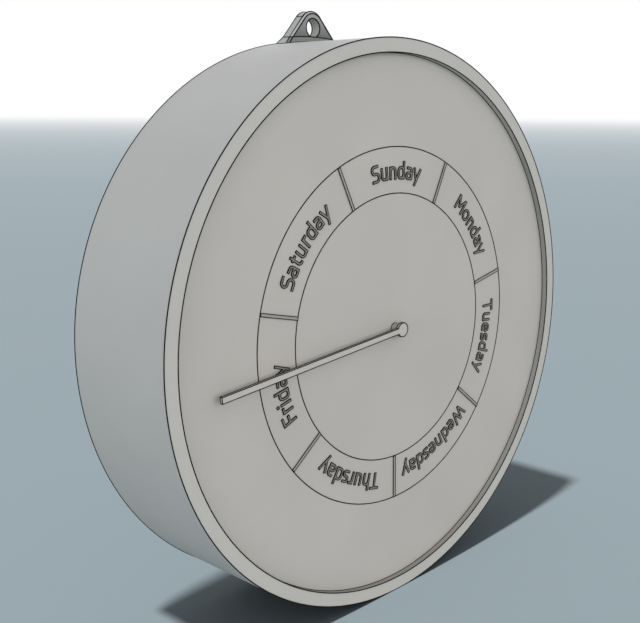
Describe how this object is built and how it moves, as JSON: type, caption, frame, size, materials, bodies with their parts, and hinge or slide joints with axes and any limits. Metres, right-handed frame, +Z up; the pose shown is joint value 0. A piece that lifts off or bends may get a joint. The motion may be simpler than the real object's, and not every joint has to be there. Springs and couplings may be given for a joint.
{
  "type": "day of the week clock",
  "caption": "Round wall clock in a deep drum case whose single hand turns once a week past a ring of day names; quartz movement, battery door and hanging lug.",
  "frame": {"origin": "centre of the rear face that goes against the wall, on the axis of the hand", "axes": "+X to the right seen from the front, +Y into the wall, +Z up; the dial faces -Y"},
  "size_m": [0.25, 0.0601, 0.2636],
  "materials": {
    "case_plastic": "satin light grey moulded shell",
    "dial_plastic": "matt warm light grey",
    "ring_plastic": "matt warm light grey, a shade apart from the dial",
    "letter_plastic": "matt grey, printed dark round its edges",
    "lug_plastic": "matt mid grey",
    "hand_aluminium": "brushed light grey",
    "pillar_aluminium": "turned",
    "spring_steel": "bright spring steel",
    "screw_steel": "zinc plated",
    "movement_plastic": "matt black",
    "wheel_plastic": "natural acetal",
    "red_plastic": "moulded",
    "magnet": "sintered magnet",
    "core_steel": "soft iron",
    "copper": "enamelled copper wire",
    "board": "green solder mask",
    "chip": "black epoxy",
    "crystal_can": "plated can",
    "contact_metal": "nickel plated strip",
    "cell_wrap": "plain dark sleeve",
    "door_plastic": "satin light grey"
  },
  "bodies": {
    "case": {"case_drum": "case_plastic", "dial_plate": "dial_plastic", "dial_retaining_ring": "spring_steel", "day_ring": "ring_plastic", "day_separators": "letter_plastic", "sunday_letters": "letter_plastic", "monday_letters": "letter_plastic", "tuesday_letters": "letter_plastic", "wednesday_letters": "letter_plastic", "thursday_letters": "letter_plastic", "friday_letters": "letter_plastic", "saturday_letters": "letter_plastic", "cover_pillars": "pillar_aluminium", "rear_cover": "case_plastic", "rear_cover_screws": "screw_steel", "hanging_lug": "lug_plastic", "hanging_lug_screws": "screw_steel", "movement_tray": "movement_plastic", "movement_lid": "movement_plastic", "movement_case_screws": "screw_steel", "movement_mounting_screws": "screw_steel", "stator_plate": "core_steel", "coil_core": "core_steel", "coil_bobbin": "wheel_plastic", "coil_winding": "copper", "stator_screws": "screw_steel", "circuit_board": "board", "timing_chip": "chip", "quartz_crystal": "crystal_can", "positive_contact": "contact_metal", "negative_contact": "contact_metal"},
    "hand": {"day_hand": "hand_aluminium", "day_wheel": "wheel_plastic"},
    "setter": {"setting_pinion": "wheel_plastic", "clutch_spring": "spring_steel", "set_knob": "red_plastic"},
    "clutch": {"clutch_wheel": "wheel_plastic"},
    "fourth": {"fourth_wheel": "wheel_plastic"},
    "third": {"third_wheel": "wheel_plastic"},
    "second": {"second_wheel": "wheel_plastic"},
    "first": {"first_wheel": "wheel_plastic"},
    "rotor": {"rotor_pinion": "wheel_plastic", "rotor_magnet": "magnet"},
    "door": {"battery_door": "door_plastic"},
    "cell": {"battery": "cell_wrap"}
  },
  "joints": [
    {"name": "hand_spin", "type": "hinge", "parent": "case", "child": "hand", "pos_m": [0, -0.044, 0], "axis": [0, 1, 0], "continuous": true},
    {"name": "setting_spin", "type": "hinge", "parent": "case", "child": "setter", "pos_m": [0, -0.044, -0.016], "axis": [0, 1, 0], "continuous": true},
    {"name": "rotor_spin", "type": "hinge", "parent": "case", "child": "rotor", "pos_m": [0.01318, -0.044, 0.01347], "axis": [0, 1, 0], "continuous": true},
    {"name": "first_wheel_spin", "type": "hinge", "parent": "case", "child": "first", "pos_m": [0.01919, -0.044, 0.00746], "axis": [0, 1, 0], "continuous": true},
    {"name": "second_wheel_spin", "type": "hinge", "parent": "case", "child": "second", "pos_m": [0.02075, -0.044, -0.0014], "axis": [0, 1, 0], "continuous": true},
    {"name": "third_wheel_spin", "type": "hinge", "parent": "case", "child": "third", "pos_m": [0.01919, -0.044, -0.01026], "axis": [0, 1, 0], "continuous": true},
    {"name": "fourth_wheel_spin", "type": "hinge", "parent": "case", "child": "fourth", "pos_m": [0.011, -0.044, -0.016], "axis": [0, 1, 0], "continuous": true},
    {"name": "clutch_wheel_spin", "type": "hinge", "parent": "case", "child": "clutch", "pos_m": [0, -0.044, -0.016], "axis": [0, 1, 0], "continuous": true},
    {"name": "battery_door_hinge", "type": "hinge", "parent": "case", "child": "door", "pos_m": [0, -0.0015, -0.0118], "axis": [1, 0, 0], "range_deg": [0, 95]},
    {"name": "battery_slide", "type": "slide", "parent": "case", "child": "cell", "axis": [0, 1, 0], "range_m": [0, 0.025]}
  ],
  "couplings": [
    {"joint": "setting_spin", "follows": "hand_spin", "ratio": -7},
    {"joint": "first_wheel_spin", "follows": "rotor_spin", "ratio": -0.13333},
    {"joint": "second_wheel_spin", "follows": "rotor_spin", "ratio": 0.016667},
    {"joint": "third_wheel_spin", "follows": "rotor_spin", "ratio": -0.0020833},
    {"joint": "fourth_wheel_spin", "follows": "rotor_spin", "ratio": 0.00023148},
    {"joint": "clutch_wheel_spin", "follows": "rotor_spin", "ratio": -0.000023148}
  ]
}
